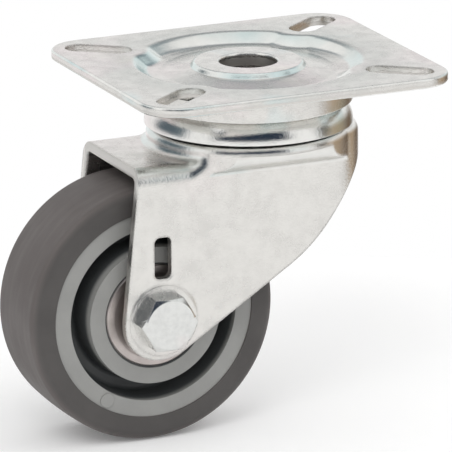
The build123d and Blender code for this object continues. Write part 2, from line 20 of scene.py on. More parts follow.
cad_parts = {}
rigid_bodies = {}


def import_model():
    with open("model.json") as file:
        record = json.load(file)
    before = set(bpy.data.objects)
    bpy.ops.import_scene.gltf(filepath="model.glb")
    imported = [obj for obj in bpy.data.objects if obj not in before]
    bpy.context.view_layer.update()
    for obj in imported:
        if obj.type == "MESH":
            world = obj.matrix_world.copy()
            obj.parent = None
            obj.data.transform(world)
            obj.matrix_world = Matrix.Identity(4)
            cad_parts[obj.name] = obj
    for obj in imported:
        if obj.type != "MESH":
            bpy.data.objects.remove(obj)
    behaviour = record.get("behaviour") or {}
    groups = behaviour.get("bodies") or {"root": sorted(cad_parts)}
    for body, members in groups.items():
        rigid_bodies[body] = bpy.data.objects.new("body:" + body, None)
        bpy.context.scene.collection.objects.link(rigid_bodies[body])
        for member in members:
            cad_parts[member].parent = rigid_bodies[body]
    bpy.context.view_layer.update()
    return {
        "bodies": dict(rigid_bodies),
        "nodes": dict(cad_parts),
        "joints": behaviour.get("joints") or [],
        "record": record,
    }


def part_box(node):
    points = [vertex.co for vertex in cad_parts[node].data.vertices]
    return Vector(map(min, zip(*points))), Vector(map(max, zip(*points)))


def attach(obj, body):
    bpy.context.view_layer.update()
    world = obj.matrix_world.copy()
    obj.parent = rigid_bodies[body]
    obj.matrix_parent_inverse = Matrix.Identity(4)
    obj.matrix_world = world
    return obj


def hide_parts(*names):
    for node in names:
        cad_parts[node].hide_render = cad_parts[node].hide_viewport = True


LOG = logging.getLogger("castor")
MM = 0.001

Colour = tuple[float, float, float]
Triple = tuple[float, float, float]
Span = tuple[float, float]
Socket = bpy.types.NodeSocket

WHITE: Colour = (1.0, 1.0, 1.0)
ORIGIN: Triple = (0.0, 0.0, 0.0)
ACROSS_SWIVEL: Triple = (1.0, 1.0, 0.0)
ACROSS_AXLE: Triple = (1.0, 0.0, 1.0)
CLOUD_SPAN: Span = (0.35, 0.65)
SAME_PLACE = 0.01 * MM


class Slot(Enum):
    """Material slots of the record, one named for each new piece."""

    BOLT_ZINC = "bolt_zinc"
    CORE_PLASTIC = "core_plastic"


class Side(Enum):
    """The two ends of the axle, by the sign of their place along Y."""

    HEAD = -1
    NUT = 1

    @property
    def label(self) -> str:
        """Give the ending of the names of its pieces."""
        return f"{self.name.lower()}_side"


class Axis(Enum):
    """Sockets of a vector's parts."""

    X = 0
    Y = 1
    Z = 2


# ---------------------------------------------------------------- nodes


class Grain(NamedTuple):
    """A noise pattern: features per metre, octaves, and how strong the finer octaves are."""

    scale: float
    detail: float = 3.0
    rough: float = 0.5


class Relief(NamedTuple):
    """How far a bump reaches, in metres, and how strong it is."""

    distance: float
    strength: float


class Sheet:
    """A node tree, with short ways to add and join its nodes."""

    def __init__(self, tree: bpy.types.NodeTree) -> None:
        """Empty a tree.

        Args:
            tree: the node tree of a material or a world.
        """
        self.tree = tree
        self.tree.nodes.clear()

    def add(self, kind: str, **settings: object) -> bpy.types.Node:
        """Add a node and set its properties.

        Args:
            kind: Blender's identifier of the node.
            settings: properties to set on it.

        Returns:
            The new node.
        """
        node = self.tree.nodes.new(kind)
        for key, value in settings.items():
            setattr(node, key, value)
        return node

    def join(self, source: Socket, target: Socket) -> None:
        """Link one socket to another."""
        self.tree.links.new(source, target)

    def feed(self, value: Socket | float | Triple, target: Socket) -> None:
        """Link a socket to another, or set the other one to a constant."""
        if isinstance(value, bpy.types.NodeSocket):
            self.join(value, target)
        else:
            target.default_value = value

    def math(self, operation: str, first: Socket | float, second: Socket | float = 0.0) -> Socket:
        """Combine numbers or sockets.

        Args:
            operation: the Math node's operation.
            first: the first number.
            second: the second number, where the operation has one.

        Returns:
            The result's socket.
        """
        node = self.add("ShaderNodeMath", operation=operation)
        self.feed(first, node.inputs[0])
        self.feed(second, node.inputs[1])
        return node.outputs[0]

    def times(self, first: Socket | float, second: Socket | float) -> Socket:
        """Multiply numbers or sockets."""
        return self.math("MULTIPLY", first, second)

    def blend(self, factor: Socket | float, first: Socket | Colour, second: Socket | Colour,
              kind: str = "MIX") -> Socket:
        """Mix two colours.

        Args:
            factor: 0 for the first colour and 1 for the second.
            first: a colour or its socket.
            second: a colour or its socket.
            kind: how the second colour is laid over the first.

        Returns:
            The mixed colour's socket.
        """
        node = self.add("ShaderNodeMix", data_type="RGBA", blend_type=kind)
        self.feed(factor, node.inputs["Factor"])
        sockets = [entry for entry in node.inputs if entry.type == "RGBA"]
        for value, socket in zip((first, second), sockets):
            self.feed((*value, 1.0) if isinstance(value, tuple) else value, socket)
        return next(entry for entry in node.outputs if entry.type == "RGBA")


class NodeSheet(Sheet):
    """A material's node tree round one plain shader."""

    def __init__(self, name: str) -> None:
        """Start a material that holds a plain shader.

        Args:
            name: the material's name.
        """
        self.material = bpy.data.materials.new(name)
        self.material.use_nodes = True
        super().__init__(self.material.node_tree)
        output = self.add("ShaderNodeOutputMaterial")
        self.shader = self.add("ShaderNodeBsdfPrincipled")
        self.join(self.shader.outputs["BSDF"], output.inputs["Surface"])
        coordinates = self.add("ShaderNodeTexCoord")
        self.place = coordinates.outputs["Object"]
        self.facing = coordinates.outputs["Normal"]

    def part(self, vector: Socket, axis: Axis) -> Socket:
        """Give one part of a vector."""
        node = self.add("ShaderNodeSeparateXYZ")
        self.join(vector, node.inputs[0])
        return node.outputs[axis.value]

    def size_of(self, vector: Socket, axis: Axis) -> Socket:
        """Give one part of a vector without its sign."""
        return self.math("ABSOLUTE", self.part(vector, axis))

    def away_from(self, centre: Triple, across: Triple) -> Socket:
        """Measure the distance to a point or, across one axis, to a line through it.

        Args:
            centre: the point in metres.
            across: 1 for each axis that counts and 0 for the axis along the line.

        Returns:
            The distance in metres.
        """
        shifted = self.add("ShaderNodeVectorMath", operation="SUBTRACT")
        self.join(self.place, shifted.inputs[0])
        shifted.inputs[1].default_value = centre
        flat = self.add("ShaderNodeVectorMath", operation="MULTIPLY")
        self.join(shifted.outputs[0], flat.inputs[0])
        flat.inputs[1].default_value = across
        length = self.add("ShaderNodeVectorMath", operation="LENGTH")
        self.join(flat.outputs[0], length.inputs[0])
        return length.outputs["Value"]

    def moved(self, scale: Triple) -> Socket:
        """Give Object coordinates stretched by a Mapping node.

        Args:
            scale: stretch along x, y and z.

        Returns:
            The vector output of the Mapping node.
        """
        mapping = self.add("ShaderNodeMapping")
        mapping.inputs["Scale"].default_value = scale
        self.join(self.place, mapping.inputs["Vector"])
        return mapping.outputs["Vector"]

    def noise(self, grain: Grain, vector: Socket | None = None) -> Socket:
        """Add a noise texture.

        Args:
            grain: the pattern.
            vector: a vector output, or None for plain Object coordinates.

        Returns:
            The noise's factor output.
        """
        node = self.add("ShaderNodeTexNoise")
        node.inputs["Scale"].default_value = grain.scale
        node.inputs["Detail"].default_value = grain.detail
        node.inputs["Roughness"].default_value = grain.rough
        self.join(vector if vector is not None else self.place, node.inputs["Vector"])
        return node.outputs["Fac"]

    def ramp(self, source: Socket, *stops: tuple[float, Colour]) -> Socket:
        """Turn a factor into colours.

        Args:
            source: the factor output to read.
            stops: position and colour of each stop, in order.

        Returns:
            The ramp's colour output.
        """
        node = self.add("ShaderNodeValToRGB")
        elements = node.color_ramp.elements
        while len(elements) < len(stops):
            elements.new(0.5)
        for element, (position, colour) in zip(elements, stops):
            element.position = position
            element.color = (*colour, 1.0)
        self.join(source, node.inputs["Fac"])
        return node.outputs["Color"]

    def spread(self, source: Socket, start: float, stop: float, numbers: Span = (0.0, 1.0)) -> Socket:
        """Map a factor onto a range of numbers, and hold it at the range's ends.

        Args:
            source: the factor output to read.
            start: the factor that gives the first number.
            stop: the factor that gives the second number.
            numbers: the two numbers.

        Returns:
            The mapped value output.
        """
        node = self.add("ShaderNodeMapRange")
        node.inputs["From Min"].default_value = start
        node.inputs["From Max"].default_value = stop
        node.inputs["To Min"].default_value = numbers[0]
        node.inputs["To Max"].default_value = numbers[1]
        self.join(source, node.inputs["Value"])
        return node.outputs["Result"]

    def cloudy(self, cloud: Socket, roughness: Span) -> Socket:
        """Spread a roughness over a cloud noise, from its rough end to its smooth one."""
        return self.spread(cloud, *CLOUD_SPAN, (roughness[1], roughness[0]))

    def mixed(self, factor: Socket, first: Socket | float, second: Socket | float) -> Socket:
        """Mix two numbers.

        Args:
            factor: 0 for the first number and 1 for the second.
            first: a number or its socket.
            second: a number or its socket.

        Returns:
            The mixed number's socket.
        """
        rest = self.times(self.math("SUBTRACT", 1.0, factor), first)
        return self.math("ADD", rest, self.times(factor, second))

    def finish(self, colour: Socket, rough: Socket, heights: list[tuple[Socket, Relief]],
               rounding: float, **values: float) -> bpy.types.Material:
        """Feed the shader and give the finished material.

        Args:
            colour: the base colour.
            rough: the roughness.
            heights: the height output and the relief of each bump, in order.
            rounding: radius in metres by which sharp edges catch the light.
            values: constants of the shader, with underscores for the spaces in socket names.

        Returns:
            The node material.
        """
        self.join(colour, self.shader.inputs["Base Color"])
        self.join(rough, self.shader.inputs["Roughness"])
        edge = self.add("ShaderNodeBevel", samples=4)
        edge.inputs["Radius"].default_value = rounding
        normal = edge.outputs["Normal"]
        for height, relief in heights:
            node = self.add("ShaderNodeBump")
            node.inputs["Strength"].default_value = relief.strength
            node.inputs["Distance"].default_value = relief.distance
            self.join(height, node.inputs["Height"])
            self.join(normal, node.inputs["Normal"])
            normal = node.outputs["Normal"]
        self.join(normal, self.shader.inputs["Normal"])
        self.set(**values)
        return self.material

    def set(self, **values: float) -> None:
        """Set constants on the shader, with underscores for the spaces in socket names."""
        for key, value in values.items():
            self.shader.inputs[key.replace("_", " ")].default_value = value


# ---------------------------------------------------------------- finishes


@dataclass(frozen=True)
class ShearedEdge:
    """Cut edge of a pressed sheet: a burnished band where the punch entered, then a torn one.

    The depth through the sheet runs along one axis, from its punched face. A face is an edge where it
    hardly faces along that axis and lies between the two heights, or behind a place along X.
    """

    axis: Axis
    punched_face: float
    torn_face: float
    below: float
    above: float
    behind: float | None = None
    most_tilt: float = 0.35
    burnished_share: float = 0.40
    ragged_share: float = 0.12
    wander: float = 0.35
    wander_grain: Grain = Grain(420.0, 4.0, 0.6)
    colour: Colour = (0.67, 0.65, 0.62)
    roughness: float = 0.42
    grit: Grain = Grain(2200.0, 4.0, 0.7)
    grit_relief: Relief = Relief(0.07 * MM, 0.7)
    drag: Grain = Grain(1.0, 2.0, 0.5)
    drag_stretch: Triple = (2600.0, 2600.0, 120.0)
    drag_relief: Relief = Relief(0.03 * MM, 0.4)

    def zone(self, sheet: NodeSheet) -> tuple[Socket, Socket]:
        """Find the edge faces of a material's piece.

        Args:
            sheet: the material's nodes.

        Returns:
            A factor that is 1 on the cut edges, and one that is 1 on their torn band.
        """
        upright = sheet.math("LESS_THAN", sheet.size_of(sheet.facing, self.axis), self.most_tilt)
        height = sheet.part(sheet.place, Axis.Z)
        within = sheet.times(sheet.math("LESS_THAN", height, self.below),
                             sheet.math("GREATER_THAN", height, self.above))
        if self.behind is not None:
            rear = sheet.math("LESS_THAN", sheet.part(sheet.place, Axis.X), self.behind)
            within = sheet.math("MAXIMUM", within, rear)
        edge = sheet.times(upright, within)
        depth = sheet.size_of(sheet.place, self.axis)
        share = sheet.spread(depth, abs(self.punched_face), abs(self.torn_face))
        wave = sheet.math("SUBTRACT", sheet.noise(self.wander_grain), 0.5)
        share = sheet.math("ADD", share, sheet.times(wave, self.wander))
        torn = sheet.spread(share, self.burnished_share, self.burnished_share + self.ragged_share)
        return edge, sheet.times(edge, torn)

    def heights(self, sheet: NodeSheet, edge: Socket, torn: Socket) -> list[tuple[Socket, Relief]]:
        """Give the bumps of the cut edges.

        Args:
            sheet: the material's nodes.
            edge: a factor that is 1 on the cut edges.
            torn: a factor that is 1 on their torn band.

        Returns:
            The grit of the torn band and the punch's drag lines.
        """
        grit = sheet.times(torn, sheet.noise(self.grit))
        drag = sheet.times(edge, sheet.noise(self.drag, sheet.moved(self.drag_stretch)))
        return [(grit, self.grit_relief), (drag, self.drag_relief)]


@dataclass(frozen=True)
class DullRing:
    """A ring round the swivel axis where the plating is dull in patches."""

    inside: float
    crest: float
    outside: float
    colour: Colour = (0.76, 0.79, 0.785)
    patches: Grain = Grain(50.0, 3.0, 0.5)
    least_share: float = 0.55

    def zone(self, sheet: NodeSheet) -> Socket:
        """Give a factor that is 1 where the plating is dull."""
        radius = sheet.away_from(ORIGIN, ACROSS_SWIVEL)
        ring = sheet.times(sheet.spread(radius, self.crest, self.outside, (1.0, 0.0)),
                           sheet.spread(radius, self.inside, self.crest))
        patchy = sheet.spread(sheet.noise(self.patches), *CLOUD_SPAN, (self.least_share, 1.0))
        return sheet.times(ring, patchy)


@dataclass(frozen=True)
class ZincPlated:
    """Satin zinc plate over steel, with a faint clear film that shows teal, straw and rose.

    Bends take a burnished look with patches of a stronger film, where bend_film is above 0. Faces
    above drawn_above have the smooth skin of drawn metal.
    """

    name: str
    base: Colour = (0.705, 0.692, 0.664)
    teal: Colour = (0.60, 0.70, 0.70)
    rose: Colour = (0.755, 0.70, 0.69)
    straw: Colour = (0.755, 0.735, 0.665)
    film_scale: float = 24.0
    film_spread: float = 1.0
    film_detail: float = 2.5
    film_stops: tuple[float, ...] = (0.30, 0.42, 0.52, 0.62, 0.74)
    cloud_scale: float = 9.0
    cloud_detail: float = 5.0
    cloud_rough: float = 0.62
    mottle: Colour = (0.93, 0.93, 0.93)
    mottle_span: Span = (0.34, 0.60)
    roughness: Span = (0.20, 0.30)
    bend: Colour = (0.54, 0.68, 0.685)
    bend_film: float = 0.0
    bend_patches: Grain = Grain(34.0, 2.0, 0.5)
    bend_span: Span = (0.46, 0.62)
    bend_roughness: float = 0.13
    burnished: Colour = (0.84, 0.835, 0.805)
    level_tilts: Span = (0.985, 0.90)
    upright_tilts: Span = (0.08, 0.30)
    drawn_above: float | None = None
    drawn_fade: float = 3.0 * MM
    drawn_roughness: float = 0.15
    dull_ring: DullRing | None = None
    edge: ShearedEdge | None = None
    streaks: Grain = Grain(1.0, 3.0, 0.6)
    streak_stretch: Triple = (700.0, 700.0, 90.0)
    streak_relief: Relief = Relief(0.01 * MM, 0.5)
    pits: Grain = Grain(2000.0, 3.0, 0.55)
    pit_relief: Relief = Relief(0.05 * MM, 0.8)
    rounding: float = 0.22 * MM

    def film(self, sheet: NodeSheet) -> Socket:
        """Give the colour of the plating and its film."""
        film = sheet.noise(Grain(self.film_scale, self.film_detail))
        half = 0.5 * self.film_spread
        film = sheet.spread(film, 0.0, 1.0, (0.5 - half, 0.5 + half))
        colours = (self.teal, self.base, self.base, self.rose, self.straw)
        return sheet.ramp(film, *zip(self.film_stops, colours))

    def slope(self, sheet: NodeSheet) -> Socket:
        """Give a factor that is 1 where a face is neither level nor upright."""
        tilt = sheet.size_of(sheet.facing, Axis.Z)
        return sheet.times(sheet.spread(tilt, *self.level_tilts), sheet.spread(tilt, *self.upright_tilts))

    def build(self) -> bpy.types.Material:
        """Make the material.

        Returns:
            The node material.
        """
        sheet = NodeSheet(self.name)
        colour = self.film(sheet)
        cloud = sheet.noise(Grain(self.film_scale * self.cloud_scale, self.cloud_detail, self.cloud_rough))
        rough = sheet.cloudy(cloud, self.roughness)
        if self.bend_film:
            slope = self.slope(sheet)
            patchy = sheet.spread(sheet.noise(self.bend_patches), *self.bend_span, (0.0, self.bend_film))
            colour = sheet.blend(slope, colour, sheet.blend(patchy, self.burnished, self.bend))
            rough = sheet.mixed(slope, rough, self.bend_roughness)
        if self.drawn_above is not None:
            height = sheet.part(sheet.place, Axis.Z)
            drawn = sheet.spread(height, self.drawn_above - self.drawn_fade, self.drawn_above)
            rough = sheet.mixed(drawn, rough, self.drawn_roughness)
        mottle = sheet.ramp(cloud, (self.mottle_span[0], self.mottle), (self.mottle_span[1], WHITE))
        if self.dull_ring is not None:
            mottle = sheet.blend(self.dull_ring.zone(sheet), mottle, self.dull_ring.colour)
        colour = sheet.blend(1.0, colour, mottle, "MULTIPLY")
        heights = [(sheet.noise(self.streaks, sheet.moved(self.streak_stretch)), self.streak_relief),
                   (sheet.noise(self.pits), self.pit_relief)]
        if self.edge is not None:
            edge, torn = self.edge.zone(sheet)
            colour = sheet.blend(torn, colour, self.edge.colour)
            rough = sheet.mixed(torn, rough, self.edge.roughness)
            heights += self.edge.heights(sheet, edge, torn)
        return sheet.finish(colour, rough, heights, self.rounding, Metallic=1.0)


@dataclass(frozen=True)
class TurnedSteel:
    """Steel with fine turning lines round an axis along Y."""

    name: str
    base: Colour
    shade: Colour
    roughness: Span
    centre: Triple
    cloud: Grain = Grain(160.0, 4.0, 0.6)
    shade_span: Span = (0.36, 0.62)
    lines: Grain = Grain(2600.0, 2.0, 0.6)
    line_relief: Relief = Relief(0.012 * MM, 0.5)
    rounding: float = 0.12 * MM

    def build(self) -> bpy.types.Material:
        """Make the material.

        Returns:
            The node material.
        """
        sheet = NodeSheet(self.name)
        cloud = sheet.noise(self.cloud)
        colour = sheet.ramp(cloud, (self.shade_span[0], self.shade), (self.shade_span[1], self.base))
        rings = sheet.add("ShaderNodeCombineXYZ")
        sheet.join(sheet.away_from(self.centre, ACROSS_AXLE), rings.inputs[0])
        sheet.join(sheet.part(sheet.place, Axis.Y), rings.inputs[1])
        lines = sheet.noise(self.lines, rings.outputs[0])
        return sheet.finish(colour, sheet.cloudy(cloud, self.roughness), [(lines, self.line_relief)],
                            self.rounding, Metallic=1.0)


@dataclass(frozen=True)
class Cavity:
    """Painted shade on a moulding round an axis along Y: near-black deep inside its recess, and a painted
    shadow line in its bore.
    """

    # colour of the painted shade; mouth and floor, along Y, where it starts and where it is full; bore, the
    # radii over which the painted shadow line fades out
    colour: Colour
    centre: Triple
    mouth: float
    floor: float
    bore: Span

    def lay(self, sheet: NodeSheet, colour: Socket) -> Socket:
        """Paint shade over a colour.

        Args:
            sheet: the material's nodes.
            colour: the moulding's own colour.

        Returns:
            The colour with its painted shade and painted shadow line.
        """
        # painted shade, full deep inside the recess
        inside = sheet.spread(sheet.size_of(sheet.place, Axis.Y), self.mouth, self.floor)
        colour = sheet.blend(inside, colour, self.colour)
        # painted shadow line at the bore, where the gap to the bearing is
        rim = sheet.spread(sheet.away_from(self.centre, ACROSS_AXLE), *self.bore, (1.0, 0.0))
        return sheet.blend(rim, colour, self.colour)


@dataclass(frozen=True)
class Moulded:
    """Moulded plastic with a fine spark-eroded grain, and painted shade in its recess and bore where it has
    a recess.
    """

    name: str
    base: Colour
    shade: Colour
    roughness: Span
    # painted shade of the recess and bore, where the moulding has one
    cavity: Cavity | None = None
    cloud: Grain = Grain(60.0, 5.0, 0.6)
    shade_span: Span = (0.35, 0.62)
    grain: Grain = Grain(2600.0, 3.0, 0.6)
    grain_relief: Relief = Relief(0.02 * MM, 0.35)
    wave: Grain = Grain(150.0, 2.0, 0.5)
    wave_relief: Relief = Relief(0.05 * MM, 0.2)
    rounding: float = 0.15 * MM
    specular: float = 0.5

    def build(self) -> bpy.types.Material:
        """Make the material.

        Returns:
            The node material.
        """
        sheet = NodeSheet(self.name)
        cloud = sheet.noise(self.cloud)
        colour = sheet.ramp(cloud, (self.shade_span[0], self.shade), (self.shade_span[1], self.base))
        # paint shade into the recess and a shadow line at the bore
        if self.cavity is not None:
            colour = self.cavity.lay(sheet, colour)
        heights = [(sheet.noise(self.grain), self.grain_relief), (sheet.noise(self.wave), self.wave_relief)]
        return sheet.finish(colour, sheet.cloudy(cloud, self.roughness), heights, self.rounding,
                            Metallic=0.0, Specular_IOR_Level=self.specular)


@dataclass(frozen=True)
class TreadRubber:
    """Grey soft rubber, paler and faintly streaked on the tread, darker on the flat sides."""

    name: str
    tread: Colour = (0.116, 0.103, 0.099)
    bloom: Colour = (0.134, 0.120, 0.115)
    bloom_span: Span = (0.42, 0.68)
    side: Colour = (0.079, 0.074, 0.072)
    side_bloom: Colour = (0.090, 0.084, 0.081)
    side_span: Span = (0.38, 0.66)
    side_tilts: Span = (0.55, 0.95)
    roughness: Span = (0.50, 0.64)
    cloud: Grain = Grain(55.0, 5.0, 0.6)
    scuffs: Grain = Grain(1.0, 3.0, 0.55)
    scuff_stretch: Triple = (60.0, 420.0, 60.0)
    scuff_relief: Relief = Relief(0.05 * MM, 0.25)
    grain: Grain = Grain(3200.0, 3.0, 0.6)
    grain_relief: Relief = Relief(0.02 * MM, 0.4)
    rounding: float = 0.2 * MM
    specular: float = 0.35

    def build(self) -> bpy.types.Material:
        """Make the material.

        Returns:
            The node material.
        """
        sheet = NodeSheet(self.name)
        cloud = sheet.noise(self.cloud)
        scuffs = sheet.noise(self.scuffs, sheet.moved(self.scuff_stretch))
        tread = sheet.ramp(scuffs, (self.bloom_span[0], self.tread), (self.bloom_span[1], self.bloom))
        side = sheet.ramp(cloud, (self.side_span[0], self.side), (self.side_span[1], self.side_bloom))
        flat = sheet.spread(sheet.size_of(sheet.facing, Axis.Y), *self.side_tilts)
        heights = [(sheet.noise(self.grain), self.grain_relief), (scuffs, self.scuff_relief)]
        return sheet.finish(sheet.blend(flat, tread, side), sheet.cloudy(cloud, self.roughness), heights,
                            self.rounding, Metallic=0.0, Specular_IOR_Level=self.specular)


# ---------------------------------------------------------------- studio


@dataclass(frozen=True)
class Patch:
    """A coloured part of the room that bare metal mirrors, in degrees seen from the castor.

    Bearings count from the camera's side, to its right, and heights from the horizon up. The two
    soft widths are those of its bearings and its heights.
    """

    bearing: Span
    height: Span
    colour: Colour
    soft: Span


@dataclass(frozen=True)
class Lamp:
    """A soft square lamp that looks at the castor, with its power in watts."""

    name: str
    place: Triple
    power: float
    size: float = 1.0

    def hang(self, target: Vector) -> None:
        """Hang the lamp.

        Args:
            target: the point that it looks at.
        """
        data = bpy.data.lights.new(self.name, "AREA")
        data.shape = "SQUARE"
        data.size = self.size
        data.energy = self.power
        lamp = bpy.data.objects.new(self.name, data)
        lamp.visible_glossy = False
        turn = (Vector(self.place) - target).to_track_quat("Z", "Y").to_matrix().to_4x4()
        lamp.matrix_world = Matrix.Translation(self.place) @ turn
        bpy.context.scene.collection.objects.link(lamp)


class WorldSheet(Sheet):
    """The world's node tree, which gives the light from every direction."""

    first_bearing = -150.0

    def __init__(self, name: str, toward: Vector) -> None:
        """Start an empty world.

        Args:
            name: the world's name.
            toward: level direction from which bearings are counted.
        """
        self.world = bpy.data.worlds.new(name)
        self.world.use_nodes = True
        super().__init__(self.world.node_tree)
        self.sight = self.add("ShaderNodeTexCoord").outputs["Generated"]
        self.toward = toward
        self.right = Vector((0, 0, 1)).cross(toward)

    def reach(self, vector: Vector) -> Socket:
        """Measure the sight line along one direction."""
        node = self.add("ShaderNodeVectorMath", operation="DOT_PRODUCT")
        node.inputs[1].default_value = vector
        self.join(self.sight, node.inputs[0])
        return node.outputs["Value"]

    def degrees(self, angle: Socket) -> Socket:
        """Turn radians into degrees."""
        return self.times(angle, 180.0 / math.pi)

    def bearing(self) -> Socket:
        """Give the sight line's bearing, over a full turn whose ends no patch crosses."""
        bearing = self.degrees(self.math("ARCTAN2", self.reach(self.right), self.reach(self.toward)))
        behind = self.math("LESS_THAN", bearing, self.first_bearing)
        return self.math("ADD", bearing, self.times(behind, 360.0))

    def height(self) -> Socket:
        """Give the sight line's height over the horizon in degrees."""
        return self.degrees(self.math("ARCSINE", self.reach(Vector((0, 0, 1)))))

    def window(self, value: Socket, span: Span, soft: float) -> Socket:
        """Give 1 between two angles and 0 outside them, with soft ends."""
        low, high = span
        ends = []
        for start, stop in ((low - soft, low + soft), (high + soft, high - soft)):
            node = self.add("ShaderNodeMapRange", interpolation_type="SMOOTHSTEP")
            node.inputs["From Min"].default_value = start
            node.inputs["From Max"].default_value = stop
            self.join(value, node.inputs["Value"])
            ends.append(node.outputs["Result"])
        return self.times(*ends)

    def mirrored(self, patches: tuple[Patch, ...]) -> Socket | Colour:
        """Lay patches over a white room.

        Args:
            patches: the patches, each over those before it.

        Returns:
            The room's colour as bare metal mirrors it.
        """
        bearing, height = self.bearing(), self.height()
        colour: Socket | Colour = WHITE
        for patch in patches:
            wide = self.window(bearing, patch.bearing, patch.soft[0])
            high = self.window(height, patch.height, patch.soft[1])
            colour = self.blend(self.times(wide, high), colour, patch.colour)
        return colour

    def background(self, colour: Socket | Colour, strength: float) -> Socket:
        """Add a background shader."""
        node = self.add("ShaderNodeBackground")
        self.feed((*colour, 1.0) if isinstance(colour, tuple) else colour, node.inputs["Color"])
        node.inputs["Strength"].default_value = strength
        return node.outputs[0]

    def choose(self, factor: Socket, first: Socket, second: Socket) -> Socket:
        """Mix two shaders by a factor."""
        node = self.add("ShaderNodeMixShader")
        for place, socket in enumerate((factor, first, second)):
            self.join(socket, node.inputs[place])
        return node.outputs[0]


@dataclass
class Studio:
    """The floor, the lamps, the room and the camera around the castor.

    The camera stands at two angles from the target, in degrees, and is turned a little about its own
    sight line. The floor's middle is shifted towards the camera.
    """

    azimuth: float = -23.93
    elevation: float = 16.11
    roll: float = -0.40
    target: Triple = (-8.05 * MM, -0.7 * MM, -51.48 * MM)
    distance: float = 1.8664
    lens: float = 487.06
    sensor: float = 36.0
    sight_range: Span = (0.05, 20.0)
    floor_z: float = -112.0 * MM
    floor_radius: float = 0.34
    floor_segments: int = 96
    floor_shift: float = 0.17
    floor_colour: Colour = (0.95, 0.95, 0.95)
    floor_roughness: float = 0.9
    floor_lift: float = 0.10
    lamps: tuple[Lamp, ...] = (Lamp("key", (-0.9, -1.1, 1.5), 9.0), Lamp("fill", (1.2, -0.4, 1.2), 5.0))
    room_level: float = 0.80
    mirrored_level: float = 1.0
    patches: tuple[Patch, ...] = (
        Patch((-38, 46), (5, 48), (0.022, 0.035, 0.060), (3, 5)),
        Patch((-122, -74), (-5, 30), (0.11, 0.15, 0.175), (7, 7)),
        Patch((84, 100), (-12, 34), (0.10, 0.095, 0.09), (4, 7)),
        Patch((96, 134), (-50, 12), (0.50, 0.385, 0.265), (12, 10)),
        Patch((128, 160), (-50, 4), (0.17, 0.12, 0.08), (12, 6)),
        Patch((140, 215), (29, 50), (0.30, 0.335, 0.36), (16, 7)),
    )

    def away(self) -> Vector:
        """Give the direction from the castor to the camera."""
        azimuth = math.radians(self.azimuth)
        elevation = math.radians(self.elevation)
        level = math.cos(elevation)
        return Vector((math.sin(azimuth) * level, -math.cos(azimuth) * level, math.sin(elevation)))

    def level_away(self) -> Vector:
        """Give the level direction from the castor to the camera."""
        away = self.away()
        away.z = 0.0
        return away.normalized()

    def camera(self) -> None:
        """Place the camera by its angles about the target."""
        data = bpy.data.cameras.new("camera")
        data.lens = self.lens
        data.sensor_width = self.sensor
        data.clip_start, data.clip_end = self.sight_range
        camera = bpy.data.objects.new("camera", data)
        back = self.away()
        turn = back.to_track_quat("Z", "Y").to_matrix().to_4x4()
        turn = turn @ Matrix.Rotation(math.radians(self.roll), 4, "Z")
        camera.matrix_world = Matrix.Translation(Vector(self.target) + back * self.distance) @ turn
        bpy.context.scene.collection.objects.link(camera)
        bpy.context.scene.camera = camera

    def floor_look(self) -> bpy.types.Material:
        """Make the floor's pale matt look, which glows a little where it is seen."""
        sheet = NodeSheet("floor")
        sheet.shader.inputs["Base Color"].default_value = (*self.floor_colour, 1)
        sheet.shader.inputs["Emission Color"].default_value = (*WHITE, 1)
        sheet.set(Roughness=self.floor_roughness, Specular_IOR_Level=0.0)
        path = sheet.add("ShaderNodeLightPath")
        seen = sheet.math("MAXIMUM", path.outputs["Is Camera Ray"], path.outputs["Is Glossy Ray"])
        seen = sheet.math("MAXIMUM", seen, path.outputs["Is Transmission Ray"])
        lift = sheet.spread(seen, 0.0, 1.0, (0.0, self.floor_lift))
        sheet.join(lift, sheet.shader.inputs["Emission Strength"])
        return sheet.material

    def floor(self) -> None:
        """Lay a plain round floor under the wheel, which keeps the castor's shadow."""
        work = bmesh.new()
        bmesh.ops.create_circle(work, cap_ends=True, segments=self.floor_segments, radius=self.floor_radius)
        middle = self.level_away() * self.floor_shift + Vector((0, 0, self.floor_z))
        bmesh.ops.translate(work, verts=work.verts, vec=middle)
        mesh = bpy.data.meshes.new("floor")
        work.to_mesh(mesh)
        work.free()
        floor = bpy.data.objects.new("floor", mesh)
        bpy.context.scene.collection.objects.link(floor)
        mesh.materials.append(self.floor_look())

    def room(self) -> None:
        """Light the scene from all round, white to the camera and with the patches to bare metal."""
        sheet = WorldSheet("studio", self.level_away())
        path = sheet.add("ShaderNodeLightPath")
        plain = sheet.background(WHITE, self.room_level)
        mirrored = sheet.background(sheet.mirrored(self.patches), self.mirrored_level)
        light = sheet.choose(path.outputs["Is Glossy Ray"], plain, mirrored)
        light = sheet.choose(path.outputs["Is Camera Ray"], light, sheet.background(WHITE, 1.0))
        output = sheet.add("ShaderNodeOutputWorld")
        sheet.join(light, output.inputs["Surface"])
        bpy.context.scene.world = sheet.world

    def build(self) -> None:
        """Set up everything that isn't the castor."""
        self.camera()
        self.floor()
        for lamp in self.lamps:
            lamp.hang(Vector(self.target))
        self.room()
        bpy.context.scene.view_settings.view_transform = "Standard"


# ---------------------------------------------------------------- the castor


def axis_point(node: str) -> Vector:
    """Find where a round node's axis along Y crosses the plane Y = 0."""
    low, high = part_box(node)
    return Vector(((low[0] + high[0]) / 2, 0.0, (low[2] + high[2]) / 2))


def laid_along_axle(place: Vector, side: Side) -> Matrix:
    """Give the matrix that lays a shape made about Z along Y.

    Args:
        place: where its origin goes.
        side: the end of the axle that its top faces.

    Returns:
        The matrix.
    """
    return Matrix.Translation(place) @ Matrix.Rotation(math.radians(-90 * side.value), 4, "X")


